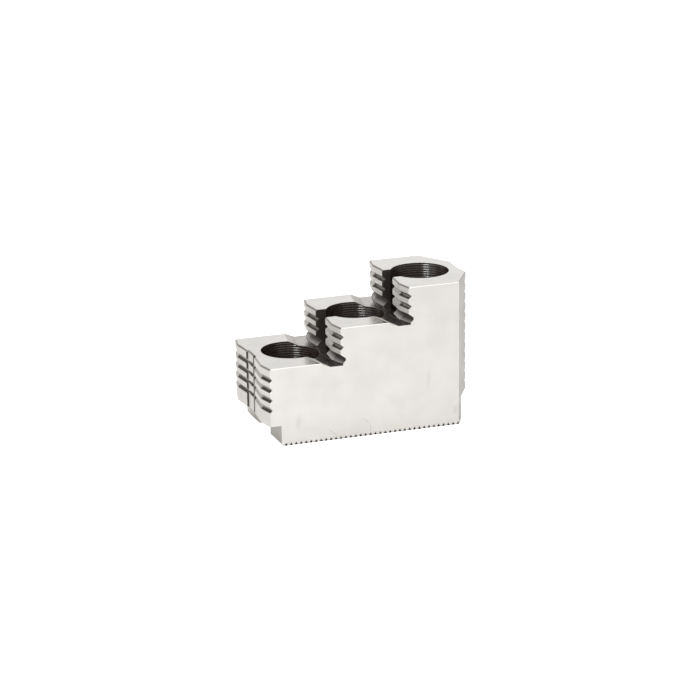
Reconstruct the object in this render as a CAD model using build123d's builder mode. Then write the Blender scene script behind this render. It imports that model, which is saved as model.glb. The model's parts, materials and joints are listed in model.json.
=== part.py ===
from build123d import *
import math
import os

# Stepped hard top jaw for a power chuck, ground from one block of hardened steel.
# X runs from the toe (the small gripping end) to the heel, Y across the jaw and Z up.
# The origin lies under the middle of the jaw, level with the crests of the base serration.
# All sizes are in millimetres.

# Block and steps
width = 32.4
length = 64.6  # over the ridges of toe and heel
step_1_z = 23.1
step_2_z = 32.9
step_3_z = 42.7
tread_1 = 21.3
tread_2 = 20.6

# Gripping faces: two upright ridges stand out from the side corners, with a shallow V between
ridge_out = 1.05
ridge_spacing = 22.0
groove_pitch = 3.0
groove_mouth = 1.6
groove_root = 0.15
riser_groove_drop = 2.7  # from the top of the face to its first groove
riser_groove_depth = 0.95
riser_groove_count = 2
toe_groove_drop = 3.15
toe_groove_depth = 0.75
toe_groove_count = 4
pad_edge_break = 0.4  # along the top of each face

# Recess down the middle of the toe, with sloping walls
recess_width = 6.4  # of its floor
recess_flare = 0.6
recess_y = 0.6  # it stands a little towards the far side
recess_set_in = 0.05  # behind the line through the side corners

# Relief at the foot of each riser: an undercut that follows the ridges...
undercut_depth = 1.5
undercut_lip = 1.95  # lower edge of the last tooth, above the tread
undercut_floor = 1.05  # below the tread
undercut_reach = 2.4  # in front of the riser
undercut_toe = 0.3  # where its steep lower wall starts, behind the face
undercut_roof_angle = 38.0
undercut_root = 0.4
# ...and a bevelled trough in front of it, turned about an upright axis towards the heel
trough_radius = 58.0  # of the trough's steep side
trough_gap = 1.65  # from that side to the riser's side corners, at the middle of the jaw
trough_depth = 1.25
trough_floor = 3.6
trough_slope = 23.7
trough_rise = 2.3  # height of the cutter's form

# Screw holes, and the slots that lead into them from the risers
screw_spacing = 20.0
middle_screw_x = 0.3
counterbore_diameter = 17.0
screw_hole_diameter = 11.0
screw_seat_z = 12.1
slot_width = 8.2
slot_edge_radius = 0.25

# Base: two rails with a tenon groove between them, serrated across
foot_length = 56.0
foot_end_break = 0.5
toe_underside_z = 6.1
heel_underside_z = 7.3
tenon_width = 12.0
tenon_depth = 6.1
serration_pitch = 1.5
serration_angle = 60.0
serration_crest = 0.5

# Heel: two long facets, and a shallow V between their ridges cut by level grooves
heel_facet_length = 6.2
heel_ridge_spacing = 12.0
heel_v_depth = 0.6
heel_groove_drop = 2.65
heel_groove_depth = 0.95
heel_groove_count = 11

# Long edges of the steps and the edges round the heel
edge_break = 0.2

# Places worked out from the sizes above
half_width = width / 2
toe_x = -length / 2 + ridge_out
riser_2_x = toe_x + tread_1
riser_3_x = riser_2_x + tread_2
heel_x = length / 2
overrun = 2.0  # how far a cutter runs out past the block
cut_length = length + 2 * overrun
risers = ((riser_2_x, step_1_z), (riser_3_x, step_2_z))  # with the tread at the foot of each
gripping_faces = (
    (toe_x, step_1_z, toe_groove_drop, toe_groove_depth, toe_groove_count),
    (riser_2_x, step_2_z, riser_groove_drop, riser_groove_depth, riser_groove_count),
    (riser_3_x, step_3_z, riser_groove_drop, riser_groove_depth, riser_groove_count),
)


def grip_points(x, past=0.0):
    """The faceted line of a gripping face from the near side to the far side."""
    ridge_y = ridge_spacing / 2
    side_x = x + ridge_out * past / (half_width - ridge_y)
    side_y = half_width + past
    return [(side_x, -side_y), (x - ridge_out, -ridge_y), (x, 0), (x - ridge_out, ridge_y), (side_x, side_y)]


def grip_path(x, z):
    """The same line at one height, running out past both sides."""
    return Polyline(*[(px, py, z) for px, py in grip_points(x, overrun)])


def section_plane(path):
    """Plane square to the start of a gripping line: X runs into the steel, Y up."""
    along = path % 0
    return Plane(origin=path @ 0, x_dir=along.cross(Vector(0, 0, 1)), z_dir=-along)


with BuildPart() as hard_jaw:
    # Block with the faceted toe and heel
    with BuildSketch():
        with BuildLine():
            Polyline(
                *grip_points(toe_x),
                (heel_x - heel_facet_length, half_width),
                (heel_x, heel_ridge_spacing / 2),
                (heel_x - heel_v_depth, 0),
                (heel_x, -heel_ridge_spacing / 2),
                (heel_x - heel_facet_length, -half_width),
                close=True,
            )
        make_face()
    extrude(amount=step_3_z)

    # Steps: everything above a tread and in front of its riser is cut away
    for riser_x, tread_z in risers:
        with BuildSketch(Plane.XY.offset(tread_z)):
            with BuildLine():
                Polyline(
                    *grip_points(riser_x, overrun),
                    (-cut_length, half_width + overrun),
                    (-cut_length, -half_width - overrun),
                    close=True,
                )
            make_face()
        extrude(amount=step_3_z, mode=Mode.SUBTRACT)

    # Recess down the toe
    floor_x = toe_x + recess_set_in
    near_y = recess_y - recess_width / 2
    far_y = recess_y + recess_width / 2
    run = recess_flare + overrun
    with BuildSketch():
        with BuildLine():
            Polyline(
                (floor_x, near_y),
                (floor_x, far_y),
                (floor_x - run, far_y + run),
                (floor_x - run, near_y - run),
                close=True,
            )
        make_face()
    extrude(amount=step_1_z, mode=Mode.SUBTRACT)

    # Broken edges along both sides, round the heel and along the top of each gripping face
    for _, top_z, _, _, _ in gripping_faces:
        chamfer(hard_jaw.edges().filter_by_position(Axis.Z, top_z, top_z).filter_by(Axis.X), edge_break)
    level = hard_jaw.edges().filter_by_position(Axis.Z, step_3_z, step_3_z)
    chamfer(level.filter_by_position(Axis.X, heel_x - heel_facet_length, heel_x), edge_break)
    for face_x, top_z, _, _, _ in gripping_faces:
        level = hard_jaw.edges().filter_by_position(Axis.Z, top_z, top_z)
        chamfer(level.filter_by_position(Axis.X, face_x - ridge_out, face_x + recess_set_in), pad_edge_break)

    # Slots from the risers back to the screw holes, with their mouths rounded
    for (riser_x, tread_z), slot_end in zip(risers, (middle_screw_x, middle_screw_x + screw_spacing)):
        slot_start = riser_x - trough_gap
        with BuildSketch(Plane.XY.offset(tread_z - trough_depth)):
            with Locations(((slot_start + slot_end) / 2, 0)):
                Rectangle(slot_end - slot_start, slot_width)
        extrude(amount=step_3_z, mode=Mode.SUBTRACT)
        upright = hard_jaw.edges().filter_by(Axis.Z).filter_by_position(Axis.X, riser_x - ridge_out, riser_x)
        fillet(upright.filter_by_position(Axis.Y, -slot_width / 2, slot_width / 2), slot_edge_radius)

    # Level V grooves along the gripping faces
    for face_x, top_z, drop, depth, count in gripping_faces:
        for n in range(count):
            with BuildLine():
                path = grip_path(face_x, top_z - drop - n * groove_pitch)
            half_mouth = groove_mouth / 2 * (1 + overrun / 2 / depth)
            with BuildSketch(section_plane(path)) as section:
                Polygon((-overrun / 2, half_mouth), (depth, 0), (-overrun / 2, -half_mouth), align=None)
                fillet(section.vertices().sort_by(Axis.X)[-1], groove_root)
            sweep(transition=Transition.RIGHT, mode=Mode.SUBTRACT)

    # Undercut below the last tooth of each riser, following its ridges
    for riser_x, tread_z in risers:
        with BuildLine():
            path = grip_path(riser_x, tread_z)
        with BuildSketch(section_plane(path)) as section:
            Polygon(
                (-undercut_reach, undercut_lip),
                (0, undercut_lip),
                (undercut_depth, undercut_lip - undercut_depth * math.tan(math.radians(undercut_roof_angle))),
                (undercut_depth, undercut_depth - undercut_toe - undercut_floor),
                (undercut_toe, -undercut_floor),
                (-undercut_reach, -undercut_floor),
                align=None,
            )
            fillet(section.vertices().group_by(Axis.X)[-1], undercut_root)
        sweep(transition=Transition.RIGHT, mode=Mode.SUBTRACT)

    # Trough in front of each riser
    for riser_x, tread_z in risers:
        floor_z = tread_z - trough_depth
        steep_x = riser_x - trough_gap
        slope_run = trough_rise / math.tan(math.radians(trough_slope))
        with BuildSketch(Plane.XZ) as section:
            with BuildLine():
                Polyline(
                    (steep_x, floor_z + trough_rise),
                    (steep_x, floor_z),
                    (steep_x - trough_floor, floor_z),
                    (steep_x - trough_floor - slope_run, floor_z + trough_rise),
                    close=True,
                )
            make_face()
        revolve(axis=Axis((steep_x + trough_radius, 0, 0), (0, 0, 1)), mode=Mode.SUBTRACT)

    # Counterbored screw holes
    for n, top_z in enumerate((step_1_z, step_2_z, step_3_z), start=-1):
        with Locations((middle_screw_x + n * screw_spacing, 0, top_z)):
            CounterBoreHole(screw_hole_diameter / 2, counterbore_diameter / 2, top_z - screw_seat_z)

    # Underside of toe and heel, clear of the foot
    with BuildSketch(Plane.XZ):
        for side, under_z in ((-1, toe_underside_z), (1, heel_underside_z)):
            with Locations((side * (foot_length / 2 + length / 2), under_z / 2)):
                Rectangle(length, under_z)
    extrude(amount=width, both=True, mode=Mode.SUBTRACT)

    # Tenon groove along the base
    with BuildSketch(Plane.YZ):
        with Locations((0, tenon_depth / 2)):
            Rectangle(tenon_width, tenon_depth)
    extrude(amount=cut_length, both=True, mode=Mode.SUBTRACT)

    # Broken edges at both ends of the foot
    foot_ends = hard_jaw.edges().filter_by(Axis.Y).filter_by_position(Axis.Z, 0, 0)
    chamfer(foot_ends, foot_end_break)

    # Serration across the base, with one groove under the middle screw
    flank = math.tan(math.radians(serration_angle / 2))
    tooth_depth = (serration_pitch - serration_crest) / 2 / flank
    below = serration_crest / 4 / flank
    half_mouth = (tooth_depth + below) * flank
    first = math.ceil((-foot_length / 2 - middle_screw_x) / serration_pitch)
    last = math.floor((foot_length / 2 - middle_screw_x) / serration_pitch)
    with BuildSketch(Plane.XZ):
        with Locations(*[(middle_screw_x + n * serration_pitch, 0) for n in range(first, last + 1)]):
            Polygon((-half_mouth, -below), (0, tooth_depth), (half_mouth, -below), align=None)
    extrude(amount=width, both=True, mode=Mode.SUBTRACT)

    # Level grooves across the ridges of the heel
    half_mouth = groove_mouth / 2 * (1 + overrun / 2 / heel_groove_depth)
    with BuildSketch(Plane.XZ):
        first_z = step_3_z - heel_groove_drop
        with Locations(*[(heel_x, first_z - n * groove_pitch) for n in range(heel_groove_count)]):
            Polygon((overrun / 2, half_mouth), (-heel_groove_depth, 0), (overrun / 2, -half_mouth), align=None)
    extrude(amount=width, both=True, mode=Mode.SUBTRACT)

os.makedirs("parts", exist_ok=True)
hard_jaw.part.label = "hard_jaw"
export_step(hard_jaw.part, "parts/hard_jaw.step")
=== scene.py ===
import json
import math

import bmesh
import bpy
from mathutils import Matrix, Vector


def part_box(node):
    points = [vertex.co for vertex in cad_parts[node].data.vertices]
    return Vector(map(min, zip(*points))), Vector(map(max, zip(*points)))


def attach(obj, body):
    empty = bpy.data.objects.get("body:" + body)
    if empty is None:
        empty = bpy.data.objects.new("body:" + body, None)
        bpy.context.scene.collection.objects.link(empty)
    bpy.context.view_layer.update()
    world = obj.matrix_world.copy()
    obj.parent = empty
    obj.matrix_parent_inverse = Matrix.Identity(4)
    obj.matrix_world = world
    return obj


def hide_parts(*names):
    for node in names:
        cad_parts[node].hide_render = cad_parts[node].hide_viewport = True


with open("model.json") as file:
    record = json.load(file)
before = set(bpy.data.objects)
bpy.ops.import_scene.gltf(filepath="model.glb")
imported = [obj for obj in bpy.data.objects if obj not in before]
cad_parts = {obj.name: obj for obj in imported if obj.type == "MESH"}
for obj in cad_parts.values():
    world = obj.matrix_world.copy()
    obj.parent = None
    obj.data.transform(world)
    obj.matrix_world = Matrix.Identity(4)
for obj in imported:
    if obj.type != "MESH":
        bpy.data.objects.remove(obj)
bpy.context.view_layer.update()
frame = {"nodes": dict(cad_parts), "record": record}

# Jaw: one block of case-hardening steel. It is milled, drilled and bored to shape, hardened in a furnace,
# and then ground bright on its sides, treads, gripping faces and heel, and turned clean in its troughs.
# The bores, slots and undercuts keep the dark scale of the furnace. The riser groove roots, the serration's
# notches and a strip along the recess's near corner are painted as dark as the scale, as painted shade. The
# ends of the foot are painted a darker steel as painted shade, and the heel's darker grey is partly painted
# shade.
mm = 0.001
skin = 0.03 * mm  # points closer than this count as touching
node = frame["nodes"]["hard_jaw"]
low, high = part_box("hard_jaw")
half_width = high.y
counterbores = [m for m in frame["record"]["mounts"] if m["name"].startswith("counterbore")]
bore_radius = counterbores[0]["dims"]["r_mm"] * mm
bore_axes = [m["pos_m"][0] for m in counterbores]
step_tops = [m["pos_m"][2] for m in counterbores]
seat_z = step_tops[0] - counterbores[0]["dims"]["length_mm"] * mm
slot_half = 4.1 * mm
slot_mouth_radius = 0.25 * mm
foot_top = 7.3 * mm
foot_end = 28.0 * mm
ridge_out = 1.05 * mm
ridge_y = 11.0 * mm
toe_x = low.x + ridge_out
riser_2_x = toe_x + 21.3 * mm
riser_3_x = riser_2_x + 20.6 * mm
gripping_faces = [  # where each lies along the jaw, the tread at its foot (none at the toe), and its top
    (toe_x, 0, step_tops[0]),
    (riser_2_x, step_tops[0], step_tops[1]),
    (riser_3_x, step_tops[1], step_tops[2]),
]
recess_y = 0.6 * mm
recess_half = 3.2 * mm
recess_set_in = 0.05 * mm
shaded_strip_to = -0.8 * mm  # the recess floor is painted dark on the near side of this line, as painted shade in its corner
face_reach = 3.0 * mm  # the broken edge and the step of a gripping face lie within this of its line
pad_edge_reach = 0.5 * mm  # below the top of a gripping face
cut_reach = 1.6 * mm  # grooves and undercuts end within this, behind the gripping line
groove_root_from = 0.5 * mm  # behind the same line
trough_radius = 58.0 * mm
trough_gap = 1.65 * mm
trough_reach = 7.0 * mm  # from its steep side to past the top of its slope
trough_depth = 1.25 * mm
undercut_lip = 1.95 * mm  # above the tread
undercut_floor = 1.05 * mm  # below the tread
undercut_wall = 1.2 * mm  # height of its lower wall
heel_groove_depth = 0.95 * mm
GROUND_LENGTHWISE, GROUND_ACROSS, RELIEF, TROUGH, UNDERCUT, DULL, MILLED, SCALE, BORED = range(9)


def grip_x(face_x, y):
    """Where the faceted line of a gripping face lies at a place across the jaw."""
    share = abs(y) / ridge_y
    if abs(y) > ridge_y:
        share = (half_width - abs(y)) / (half_width - ridge_y)
    return face_x - ridge_out * share


def off_bore_wall(point, axis_x):
    """How far a point lies from the wall of the counterbore round this axis."""
    return abs(math.hypot(point.x - axis_x, point.y) - bore_radius)


# A normal's part along one way is a cosine: 1 if the face looks that way, and 0 if it stands square to it
def hole_finish(centre, normal):
    """The finish of a face in a hole or a slot, or the painted shade of the dark strip along the recess's
    near corner, or else None.
    """
    if abs(normal.z) <= 0.3 and centre.z >= seat_z:
        if any(off_bore_wall(centre, x) < 4 * skin for x in bore_axes):
            return BORED
    in_hole = any(math.hypot(centre.x - x, centre.y) < bore_radius - skin for x in bore_axes)
    if in_hole and foot_top - 2 * mm < centre.z < seat_z + skin:
        return SCALE
    in_slot = abs(centre.y) < slot_half + slot_mouth_radius + skin and centre.z > foot_top
    if in_slot and abs(normal.y) > 0.2 and abs(normal.z) < 0.2:
        return SCALE
    # On the near side of the recess floor, by its corner: the dark scale tone as painted shade
    on_strip = recess_y - recess_half - skin < centre.y < shaded_strip_to
    if on_strip and recess_set_in - skin < centre.x - toe_x < mm and centre.z < step_tops[0] - skin:
        return SCALE
    return None


def gripping_finish(centre, normal, face_x, tread_z, top_z):
    """The finish of a face in one gripping face's trough, undercut, pad edge or grooves, or else None."""
    over_tread = centre.z - tread_z
    near_face = abs(centre.x - face_x) < face_reach
    in_front = trough_radius - math.hypot(centre.x - face_x + trough_gap - trough_radius, centre.y)
    in_trough = -trough_reach < in_front < 0 and -trough_depth - skin < over_tread < -2 * skin
    if tread_z and in_trough and normal.z > 0.8:
        return TROUGH if normal.z > 0.98 else RELIEF
    on_pad_edge = near_face and 0 < top_z - centre.z < pad_edge_reach
    if on_pad_edge and 0.6 < normal.z < 0.8 and normal.x < -0.5:
        return DULL
    if abs(normal.y) > 0.9:
        return None
    on_low_step = near_face and undercut_floor - skin < -over_tread < trough_depth + skin
    if tread_z and on_low_step and abs(normal.z) < 0.3:
        return SCALE
    behind = centre.x - grip_x(face_x, centre.y)
    if not 2 * skin < behind < cut_reach:
        return None
    if tread_z and -undercut_floor - 2 * skin < over_tread < undercut_lip:
        if normal.z <= 0.5:
            return SCALE
        return TROUGH if normal.z >= 0.95 else UNDERCUT
    in_groove = (behind > groove_root_from or abs(normal.z) > 0.5) and abs(normal.z) < 0.9
    if in_groove and tread_z < centre.z < top_z - mm:
        # A riser groove's root takes the dark scale tone as painted shade in the crease; the other groove
        # faces take the milled finish
        return SCALE if tread_z and abs(normal.z) < 0.5 else MILLED
    return None


def finish_of(centre, normal):
    """Which finish a face of the jaw has, by its place and the way it looks; some finishes also carry
    painted shade.
    """
    found = hole_finish(centre, normal)
    for face_x, tread_z, top_z in gripping_faces:
        if found is None:
            found = gripping_finish(centre, normal, face_x, tread_z, top_z)
    if found is not None:
        return found
    if centre.x > high.x - heel_groove_depth and 0.5 < abs(normal.z) < 0.9 and centre.z < high.z - mm:
        return MILLED
    # The serration's notch flanks: the dark scale tone as painted shade, for the shade under the rails
    if 0.8 < abs(normal.x) < 0.9 and normal.z < -0.3 and centre.z < mm:
        return SCALE
    # The ends of the foot and the heel's facets beside the foot take the darker milled tone as painted
    # shade, under the overhangs and for the jaw's shadow that the heel mirrors
    if abs(normal.x) > 0.9 and centre.z < foot_top and abs(abs(centre.x) - foot_end) < 10 * skin:
        return MILLED
    if 0.8 < normal.x < 0.9 and centre.z < foot_top and centre.x > foot_end - 2 * mm:
        return MILLED
    if abs(normal.x) > 0.5:
        # The heel takes the darker dull steel, partly as painted shade
        return DULL if normal.x > 0 else GROUND_ACROSS
    return GROUND_LENGTHWISE


jaw_mesh = node.data.copy()
jaw_mesh.attributes.remove(jaw_mesh.attributes["custom_normal"])
shape = bmesh.new()
shape.from_mesh(jaw_mesh)
bmesh.ops.remove_doubles(shape, verts=shape.verts, dist=0.1 * skin)


def cut_faces(faces, place, way):
    """Cuts some of the jaw's faces along a plane square to one way, and returns them with the new ones."""
    edges = dict.fromkeys(e for f in faces for e in f.edges)
    verts = dict.fromkeys(v for f in faces for v in f.verts)
    made = bmesh.ops.bisect_plane(
        shape, geom=[*faces, *edges, *verts], dist=0.05 * skin, plane_co=place * Vector(way), plane_no=way
    )
    return [g for g in made["geom"] if isinstance(g, bmesh.types.BMFace)]


# The toe is cut along both edges of the recess's painted dark strip, and the heel's facets along the top of
# the foot, so that each finish and each painted shade ends in a clean line
for cut_y in (recess_y - recess_half, shaded_strip_to):
    cut_faces([f for f in shape.faces if f.calc_center_median().x < toe_x + mm], cut_y, (0, 1, 0))
facets = [f for f in shape.faces if f.normal.x > 0.8 and f.calc_center_median().x > foot_end - 2 * mm]
cut_faces(facets, foot_top, (0, 0, 1))
finish_mark = shape.faces.layers.int.new("finish")
for face in shape.faces:
    face[finish_mark] = finish_of(face.calc_center_median(), face.normal)

# Each bore wall is sliced level, eight times to a ring, so that the rings have points to stand on
ring_pitch = 0.7 * mm
slice_height = ring_pitch / 8
top_slice = int(high.z / slice_height)
bottom_slice = math.ceil((seat_z + skin) / slice_height)
walls = [f for f in shape.faces if f[finish_mark] == BORED]
for n in range(top_slice, bottom_slice - 1, -1):
    level = n * slice_height
    walls = [f for f in walls if f.is_valid and min(v.co.z for v in f.verts) < level - 0.1 * skin]
    crossed = [f for f in walls if max(v.co.z for v in f.verts) > level + 0.1 * skin]
    if crossed:
        walls = list(dict.fromkeys(walls + cut_faces(crossed, level, (0, 0, 1))))

# A point of a wall moves out from its bore's axis, and one on the edge of a slot stays in the slot's side
outward = shape.verts.layers.float_vector.new("outward")
for vert in shape.verts:
    if all(f[finish_mark] != BORED for f in vert.link_faces):
        continue
    others = [f.normal for f in vert.link_faces if f[finish_mark] != BORED]
    axis_x = min(bore_axes, key=lambda x: off_bore_wall(vert.co, x))
    away = Vector((vert.co.x - axis_x, vert.co.y, 0)).normalized()
    if all(abs(n.z) > 0.99 for n in others):
        vert[outward] = away
    elif all(abs(n.y) > 0.99 or abs(n.z) > 0.99 for n in others):
        vert[outward] = (1 / away.x, 0, 0)

# How far up the undercut's lower wall a point stands: 0 at the trough and 1 under the lip
under_lip = shape.verts.layers.float.new("under_lip")
for face in shape.faces:
    if face[finish_mark] == UNDERCUT:
        tread_z = max(z for _, z, _ in gripping_faces if z and z - 2 * mm < face.calc_center_median().z)
        for vert in face.verts:
            vert[under_lip] = min(max((vert.co.z - tread_z + undercut_floor) / undercut_wall, 0), 1)

# Curved walls are shaded smooth. The facets of the ridges and of the shallow Vs between them, and the
# edges of the trough and its slope, meet in a crisp line.
heel_ridge_y = 6.0 * mm
for edge in shape.edges:
    if len(edge.link_faces) != 2:
        continue
    marks = [f[finish_mark] for f in edge.link_faces]
    across = [abs(v.co.y) for v in edge.verts]
    on_ridge = any(all(abs(y - line) < 4 * skin for y in across) for line in (0, heel_ridge_y, ridge_y))
    crisp = (on_ridge and max(marks) < SCALE) or RELIEF in marks or TROUGH in marks
    edge.smooth = edge.calc_face_angle() < math.radians(35)
    if crisp and edge.calc_face_angle() > math.radians(3):
        edge.smooth = False
for face in shape.faces:
    face.smooth = True
shape.to_mesh(jaw_mesh)
shape.free()


def linear(code):
    """A colour given as an sRGB hex code, turned to linear light."""
    parts = [int(code[n:n + 2], 16) / 255 for n in (1, 3, 5)]
    return tuple(p / 12.92 if p <= 0.04045 else ((p + 0.055) / 1.055) ** 2.4 for p in parts) + (1.0,)


def add(tree, kind, settings=None, **links):
    """Adds a node with its settings, by property, input name or input number, and the links into it."""
    made = tree.nodes.new(kind)
    for name, value in (settings or {}).items():
        if isinstance(name, int) or name in made.inputs:
            made.inputs[name].default_value = value
        else:
            setattr(made, name, value)
    for name, source in links.items():
        spot = int(name[1:]) if name[0] == "_" and name[1:].isdigit() else name.replace("_", " ")
        tree.links.new(source, made.inputs[spot])
    return made


def new_material(name):
    """An empty node material, its tree and its Principled shader on the output."""
    made = bpy.data.materials.new(name)
    made.use_nodes = True
    tree = made.node_tree
    tree.nodes.clear()
    shader = add(tree, "ShaderNodeBsdfPrincipled")
    add(tree, "ShaderNodeOutputMaterial", Surface=shader.outputs["BSDF"])
    return made, tree, shader


def clouded(tree, place, size, detail, fading, dark, pale):
    """A colour that drifts between two tones in soft clouds of one size."""
    settings = {"Scale": 1 / size, "Detail": detail, "Roughness": fading}
    clouds = add(tree, "ShaderNodeTexNoise", settings, Vector=place)
    most_noise = {1: 0.35, 2: 0.65, 3: 0.0, 4: 1.0}  # spread from the dark tone to the pale one
    tone = add(tree, "ShaderNodeMapRange", most_noise, Value=clouds.outputs[0])
    tones = {"data_type": "RGBA", 6: linear(dark), 7: linear(pale)}
    return add(tree, "ShaderNodeMix", tones, _0=tone.outputs[0]).outputs[2]


def worn(tree, height, edge_radius, strength, depth):
    """The fine relief of a surface, with the light rounded over its sharp edges."""
    edge = add(tree, "ShaderNodeBevel", {"samples": 4, "Radius": edge_radius})
    relief = {"Strength": strength, "Distance": depth}
    return add(tree, "ShaderNodeBump", relief, Height=height, Normal=edge.outputs[0]).outputs[0]


# Bare tool steel: metal with the wheel's or cutter's marks along one way, and a soft unevenness of tone
# left by the hardening. The real marks are about 0.03 mm wide, and are drawn at 0.12 mm so that they show.
# They run along the jaw where marks_along is 0, and across it where it is 1.
def tool_steel(name, marks_along, dull, bright, smooth, coarse, relief=0.25):
    made, tree, shader = new_material(name)
    place = add(tree, "ShaderNodeTexCoord").outputs["Object"]
    mark_width = 0.12 * mm
    mark_length = 9.0 * mm
    scale = [1 / mark_width] * 3
    scale[marks_along] = 1 / mark_length
    drawn_out = add(tree, "ShaderNodeMapping", {"Scale": scale}, Vector=place).outputs[0]
    settings = {"Scale": 1.0, "Detail": 2.0, "Roughness": 0.6}
    marks = add(tree, "ShaderNodeTexNoise", settings, Vector=drawn_out).outputs[0]
    rough = add(tree, "ShaderNodeMapRange", {1: 0.3, 2: 0.7, 3: smooth, 4: coarse}, Value=marks).outputs[0]
    colour = clouded(tree, place, size=7.0 * mm, detail=3.0, fading=0.55, dark=dull, pale=bright)
    surface = worn(tree, marks, edge_radius=0.08 * mm, strength=relief, depth=0.002 * mm)
    tree.links.new(colour, shader.inputs["Base Color"])
    tree.links.new(rough, shader.inputs["Roughness"])
    tree.links.new(surface, shader.inputs["Normal"])
    shader.inputs["Metallic"].default_value = 1.0
    return made


# Furnace scale: a thin brown-black oxide, paler where it is seen aslant. Its real grain is about 0.05 mm
# across, and is drawn at 0.3 mm so that it shows.
def furnace_scale(name, dark, pale, roughness, ior):
    made, tree, shader = new_material(name)
    place = add(tree, "ShaderNodeTexCoord").outputs["Object"]
    fine = {"Scale": 1 / (0.3 * mm), "Detail": 2.0}
    grain = add(tree, "ShaderNodeTexNoise", fine, Vector=place).outputs[0]
    colour = clouded(tree, place, size=2.0 * mm, detail=4.0, fading=0.6, dark=dark, pale=pale)
    surface = worn(tree, grain, edge_radius=0.06 * mm, strength=0.3, depth=0.01 * mm)
    tree.links.new(colour, shader.inputs["Base Color"])
    tree.links.new(surface, shader.inputs["Normal"])
    shader.inputs["Roughness"].default_value = roughness
    shader.inputs["IOR"].default_value = ior
    return made


finishes = [
    # Sides and treads, ground lengthwise: bright, and smooth enough to hold a soft picture of the tent
    tool_steel("ground_hardened_steel_lengthwise", 0, "#D0CDC9", "#D6D3CF", 0.19, 0.23),
    # Teeth of the gripping faces, ground across: a satin that spreads the light
    tool_steel("ground_hardened_steel_across", 1, "#C8C5C1", "#CFCCC8", 0.55, 0.62),
    # Slope down into a trough, fine milled: matt and even
    tool_steel("fine_milled_steel", 1, "#D0CCC7", "#D8D4D0", 0.76, 0.84, 0.1),
    # Floor of a trough, turned: smooth, so it mirrors the dark lip above it
    tool_steel("turned_steel", 1, "#B0ACA7", "#B8B4B0", 0.24, 0.27, 0.05),
    # Lower wall of an undercut: satin, and darker towards its lip, partly scale and partly painted shade
    # under the lip
    tool_steel("undercut_steel_with_scale_and_painted_shade", 1, "#CCC8C3", "#D4D0CC", 0.44, 0.5),
    # Heel, and the broken edge along the top of each gripping face: a greyer satin than the sides; on the
    # heel this darker grey is partly painted shade, for the jaw's shadow on the floor that the heel mirrors
    tool_steel("dull_ground_steel_and_painted_shade", 1, "#ACA8A3", "#B6B2AE", 0.42, 0.5),
    # Flanks of the grooves and ends of the foot, milled: smooth, and straw-tinted by the furnace; on the
    # ends of the foot and the heel's facets beside it this darker tone is painted shade
    tool_steel("milled_steel_straw_tinted_and_painted_shade", 1, "#9C9791", "#A8A39D", 0.2, 0.28),
    # Slots, screw holes, undercut roofs, riser groove roots and the serration: brown-black and dull; on the
    # groove roots, the serration's notches and the recess's near corner this dark is painted shade
    furnace_scale("heat_treatment_scale_and_painted_shade", "#1C1715", "#28221F", 0.5, 1.45),
    # Counterbore walls: scale over a bored surface, glossier, so each ring carries a glint
    furnace_scale("bored_scale", "#241D1A", "#312825", 0.2, 1.7),
]

# The undercut is darker under the lip, partly its scale and partly painted shade under the overhang, and
# shows bright steel towards the trough
undercut_tree = finishes[UNDERCUT].node_tree
undercut_colour = undercut_tree.nodes["Principled BSDF"].inputs["Base Color"]
lip_scale_and_shade = add(undercut_tree, "ShaderNodeAttribute", {"attribute_name": "under_lip"}).outputs["Fac"]
undercut_tone = add(undercut_tree, "ShaderNodeMix", {"data_type": "RGBA", 7: linear("#3A3430")}, _0=lip_scale_and_shade,
                    _6=undercut_colour.links[0].from_socket)
undercut_tree.links.new(undercut_tone.outputs[2], undercut_colour)

# Faint marks of handling low on the near side: three hair scratches and three soft stains. Each is a long
# thin patch, given by its middle (x, z), its half length and half width in mm, its slope in degrees and
# its strength.
side_marks = [
    (-13.1, 2.6, 2.1, 0.16, -41, 0.3),
    (-2.5, 4.5, 1.5, 0.2, -38, 0.28),
    (-1.25, 2.2, 1.6, 0.16, 90, 0.3),
    (-22.9, 6.4, 2.8, 1.2, 84, 0.11),
    (16.7, 14.7, 3.6, 1.0, 85, 0.1),
    (25.0, 4.6, 1.8, 1.1, 70, 0.12),
]
mark_reach = 0.3 * mm  # into the side, so that no other face takes the marks
side_tree = finishes[GROUND_LENGTHWISE].node_tree
side_colour = side_tree.nodes["Principled BSDF"].inputs["Base Color"]
side_place = add(side_tree, "ShaderNodeTexCoord").outputs["Object"]
marked = None
for x, z, half_length, half_wide, slope, strength in side_marks:
    patch = add(side_tree, "ShaderNodeMapping", {
        "vector_type": "TEXTURE",
        "Location": (x * mm, -half_width, z * mm),
        "Rotation": (0, -math.radians(slope), 0),
        "Scale": (half_length * mm, mark_reach, half_wide * mm),
    }, Vector=side_place)
    soft = add(side_tree, "ShaderNodeTexGradient", {"gradient_type": "SPHERICAL"}, Vector=patch.outputs[0])
    faint = add(side_tree, "ShaderNodeMath", {"operation": "MULTIPLY", 1: strength}, _0=soft.outputs["Fac"])
    if marked is not None:
        faint = add(side_tree, "ShaderNodeMath", {"operation": "ADD"}, _0=faint.outputs[0], _1=marked)
    marked = faint.outputs[0]
side_tone = add(side_tree, "ShaderNodeMix", {"data_type": "RGBA", 7: linear("#3C382E")}, _0=marked,
                _6=side_colour.links[0].from_socket)
side_tree.links.new(side_tone.outputs[2], side_colour)

# Bore rings: boring leaves level rings down the three counterbores, one for each turn of the cutter's feed.
# They are fine hollows with sharp crests between them, under the same scale. Real ones stand closer, and
# are drawn at this pitch and depth so that they show.
ring_depth = 0.085 * mm
rings = bpy.data.node_groups.new("bored_rings", "GeometryNodeTree")
rings.is_modifier = True
rings.interface.new_socket("Jaw", in_out="INPUT", socket_type="NodeSocketGeometry")
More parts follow.
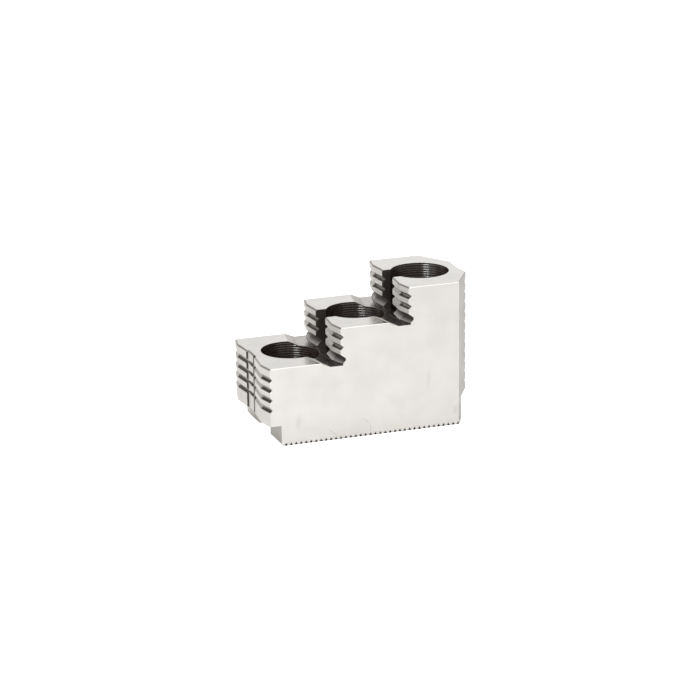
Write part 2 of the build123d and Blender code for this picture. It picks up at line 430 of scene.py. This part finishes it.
# The Scale, Milled and Dull finishes also carry painted shade on some faces
finish_names = (
    "Ground lengthwise", "Ground across", "Relief", "Trough", "Undercut", "Dull", "Milled", "Scale", "Bored",
)
ring_inputs = {"Ring pitch": ("NodeSocketFloat", ring_pitch), "Ring depth": ("NodeSocketFloat", ring_depth)}
for name, finish in zip(finish_names, finishes):
    ring_inputs[name] = ("NodeSocketMaterial", finish)
ring_sockets = {}
for name, (kind, _) in ring_inputs.items():
    ring_sockets[name] = rings.interface.new_socket(name, in_out="INPUT", socket_type=kind).identifier
rings.interface.new_socket("Jaw", in_out="OUTPUT", socket_type="NodeSocketGeometry")
given = add(rings, "NodeGroupInput").outputs
point = add(rings, "GeometryNodeInputPosition").outputs[0]
height = add(rings, "ShaderNodeSeparateXYZ", _0=point).outputs["Z"]
turns = add(rings, "ShaderNodeMath", {"operation": "DIVIDE"}, _0=height, _1=given["Ring pitch"]).outputs[0]
share = add(rings, "ShaderNodeMath", {"operation": "FRACT"}, _0=turns).outputs[0]
doubled_less_one = {"operation": "MULTIPLY_ADD", 1: 2.0, 2: -1.0}
from_middle = add(rings, "ShaderNodeMath", doubled_less_one, _0=share).outputs[0]
squared = add(rings, "ShaderNodeMath", {"operation": "POWER", 1: 2.0}, _0=from_middle).outputs[0]
hollow = add(rings, "ShaderNodeMath", {"operation": "SUBTRACT", 0: 1.0}, _1=squared).outputs[0]
depth = add(rings, "ShaderNodeMath", {"operation": "MULTIPLY"}, _0=hollow, _1=given["Ring depth"]).outputs[0]
outward_ways = {"data_type": "FLOAT_VECTOR", "Name": "outward"}
way = add(rings, "GeometryNodeInputNamedAttribute", outward_ways).outputs[0]
offset = add(rings, "ShaderNodeVectorMath", {"operation": "SCALE"}, _0=way, Scale=depth).outputs[0]
flow = add(rings, "GeometryNodeSetPosition", Geometry=given["Jaw"], Offset=offset).outputs[0]
flow = add(rings, "GeometryNodeRealizeInstances", Geometry=flow).outputs[0]
mark = add(rings, "GeometryNodeInputNamedAttribute", {"data_type": "INT", "Name": "finish"}).outputs[0]
for number, name in enumerate(finish_names):
    same = {"data_type": "INT", "operation": "EQUAL", 3: number}
    chosen = add(rings, "FunctionNodeCompare", same, _2=mark).outputs[0]
    dressed = {"Geometry": flow, "Selection": chosen, "Material": given[name]}
    flow = add(rings, "GeometryNodeSetMaterial", **dressed).outputs[0]
add(rings, "NodeGroupOutput", Jaw=flow)

rough_jaw = bpy.data.objects.new("rough_jaw", jaw_mesh)
bpy.context.scene.collection.objects.link(rough_jaw)
boring = rough_jaw.modifiers.new("boring", "NODES")
boring.node_group = rings
for name, (_, value) in ring_inputs.items():
    boring[ring_sockets[name]] = value
bored = rough_jaw.evaluated_get(bpy.context.evaluated_depsgraph_get())
jaw = bpy.data.objects.new("jaw", bpy.data.meshes.new_from_object(bored))
bpy.data.objects.remove(rough_jaw)
bpy.context.scene.collection.objects.link(jaw)
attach(jaw, "root")
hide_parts("hard_jaw")

# Floor: a sheet of plain white card, far wider than the view. It glows a little, and more for the camera,
# so that it photographs as plain white.
floor_reach = 12.0
own_glow = 0.12
camera_glow = 0.44  # added to its own, for the camera alone
floor_mesh = bpy.data.meshes.new("floor")
corners = [(-floor_reach, -floor_reach, 0), (floor_reach, -floor_reach, 0)]
corners += [(floor_reach, floor_reach, 0), (-floor_reach, floor_reach, 0)]
floor_mesh.from_pydata(corners, [], [(0, 1, 2, 3)])
floor = bpy.data.objects.new("floor", floor_mesh)
bpy.context.scene.collection.objects.link(floor)
card = bpy.data.materials.new("white_card")
card.use_nodes = True
card_tree = card.node_tree
card_tree.nodes.clear()
seen_straight = add(card_tree, "ShaderNodeLightPath").outputs["Is Camera Ray"]
both_glows = {"operation": "MULTIPLY_ADD", 1: camera_glow, 2: own_glow}
card_glow = add(card_tree, "ShaderNodeMath", both_glows, _0=seen_straight)
card_lit = add(card_tree, "ShaderNodeBsdfDiffuse", {"Color": linear("#F6F6F6")})
card_light = add(card_tree, "ShaderNodeEmission", Strength=card_glow.outputs[0])
card_face = add(card_tree, "ShaderNodeAddShader", _0=card_lit.outputs[0], _1=card_light.outputs[0])
add(card_tree, "ShaderNodeOutputMaterial", Surface=card_face.outputs[0])
floor_mesh.materials.append(card)

# Painted shade: a dark sheet under each rail, just inside its outline and with its heel corner cut as the
# jaw's is.
# It is painted shade for the dark gap under the serration, and takes up nearly all light, so that the
# notches read black.
shade_sheet_outline = ((-27.4, 6.5), (26.9, 6.5), (26.9, 14.75), (26.05, 16.18), (-27.4, 16.18))
shade_sheet_lift = 0.01 * mm
shade_sheet_corners = [(x * mm, side * y * mm, shade_sheet_lift) for side in (-1, 1) for x, y in shade_sheet_outline]
shade_sheet_mesh = bpy.data.meshes.new("shade_sheet")
shade_sheet_mesh.from_pydata(shade_sheet_corners, [], [(4, 3, 2, 1, 0), (5, 6, 7, 8, 9)])
shade_sheet = bpy.data.objects.new("shade_sheet", shade_sheet_mesh)
bpy.context.scene.collection.objects.link(shade_sheet)
painted_shade_sheet, _, shade_sheet_shader = new_material("painted_shade_sheet")
shade_sheet_shader.inputs["Base Color"].default_value = linear("#141312")
shade_sheet_shader.inputs["Roughness"].default_value = 1.0
shade_sheet_shader.inputs["Specular IOR Level"].default_value = 0.0
shade_sheet_mesh.materials.append(painted_shade_sheet)

# Camera: a long lens, low over the toe's near corner, turned a little about its own axis
view_azimuth = math.radians(19.573)
view_elevation = math.radians(16.963)
view_roll = math.radians(-0.643)
look_at = Vector((-0.001686, -0.00072, 0.021197))
view_distance = 0.7612  # from the lens to that point
forward = Vector((
    math.sin(view_azimuth) * math.cos(view_elevation),
    math.cos(view_azimuth) * math.cos(view_elevation),
    -math.sin(view_elevation),
))
level_right = Vector((math.cos(view_azimuth), -math.sin(view_azimuth), 0))
level_up = level_right.cross(forward)
right = math.cos(view_roll) * level_right + math.sin(view_roll) * level_up
up = math.cos(view_roll) * level_up - math.sin(view_roll) * level_right
camera = bpy.data.objects.new("camera", bpy.data.cameras.new("camera"))
bpy.context.scene.collection.objects.link(camera)
camera.data.lens = 135.08
camera.data.sensor_width = 36.0
camera.data.clip_start = 0.05
camera.data.clip_end = 50.0
turned = Matrix((right, up, -forward)).transposed().to_4x4()
camera.matrix_world = Matrix.Translation(look_at - forward * view_distance) @ turned
bpy.context.scene.camera = camera
bpy.context.scene.view_settings.view_transform = "Standard"

# Tent: white cloth all round, bright near the floor, darker half way up and brightest overhead, with a
# dark flag hung behind the jaw's far toe corner that darkens the grooves. The camera sees plain white.
tent = bpy.data.worlds.new("tent")
bpy.context.scene.world = tent
tent.use_nodes = True
tent_tree = tent.node_tree
tent_tree.nodes.clear()
direction = add(tent_tree, "ShaderNodeTexCoord").outputs["Generated"]
way_up = add(tent_tree, "ShaderNodeSeparateXYZ", _0=direction).outputs["Z"]
tent_shade = add(tent_tree, "ShaderNodeValToRGB", _0=way_up)
tent_stops = [  # the height, as the sine of its angle, and the brightness there
    (0.0, 1.0), (0.25, 1.15), (0.33, 1.15), (0.42, 0.5), (0.72, 0.45),
    (0.84, 1.5), (0.87, 1.5), (0.9, 2.1), (1.0, 1.8),
]
brightest = max(value for _, value in tent_stops)
ramp = tent_shade.color_ramp
while len(ramp.elements) < len(tent_stops):
    ramp.elements.new(0.5)
for element, (place, value) in zip(ramp.elements, tent_stops):
    element.position = place
    element.color = (value / brightest,) * 3 + (1.0,)
flag_azimuth = math.radians(-27)
flag_height = math.radians(28)
flag_soft_edge = math.cos(math.radians(17))
flag_inside = math.cos(math.radians(12))
flag_shade = 0.06
to_flag = (
    math.sin(flag_azimuth) * math.cos(flag_height),
    math.cos(flag_azimuth) * math.cos(flag_height),
    math.sin(flag_height),
)
towards = {"operation": "DOT_PRODUCT", 1: to_flag}
nearness = add(tent_tree, "ShaderNodeVectorMath", towards, _0=direction).outputs["Value"]
flag_range = {1: flag_soft_edge, 2: flag_inside, 3: 1.0, 4: flag_shade}
past_flag = add(tent_tree, "ShaderNodeMapRange", flag_range, Value=nearness).outputs[0]
cloth = tent_shade.outputs[0]
dimmed = add(tent_tree, "ShaderNodeVectorMath", {"operation": "SCALE"}, _0=cloth, Scale=past_flag).outputs[0]
glow = add(tent_tree, "ShaderNodeBackground", {"Strength": brightest}, Color=dimmed).outputs[0]
backdrop = add(tent_tree, "ShaderNodeBackground", {"Color": (1.0, 1.0, 1.0, 1.0)}).outputs[0]
seen_straight = add(tent_tree, "ShaderNodeLightPath").outputs["Is Camera Ray"]
tent_or_backdrop = add(tent_tree, "ShaderNodeMixShader", _0=seen_straight, _1=glow, _2=backdrop).outputs[0]
add(tent_tree, "ShaderNodeOutputWorld", Surface=tent_or_backdrop)

# Softbox: one small soft light, low on the camera's left. It makes the glints on the bore rings.
softbox = bpy.data.objects.new("softbox", bpy.data.lights.new("softbox", "AREA"))
bpy.context.scene.collection.objects.link(softbox)
softbox.data.shape = "SQUARE"
softbox.data.size = 0.12  # metres
softbox.data.energy = 0.6  # watts
softbox_place = Vector((-0.24, -0.23, 0.14))
facing_jaw = softbox_place.to_track_quat("Z", "Y").to_matrix().to_4x4()
softbox.matrix_world = Matrix.Translation(softbox_place) @ facing_jaw
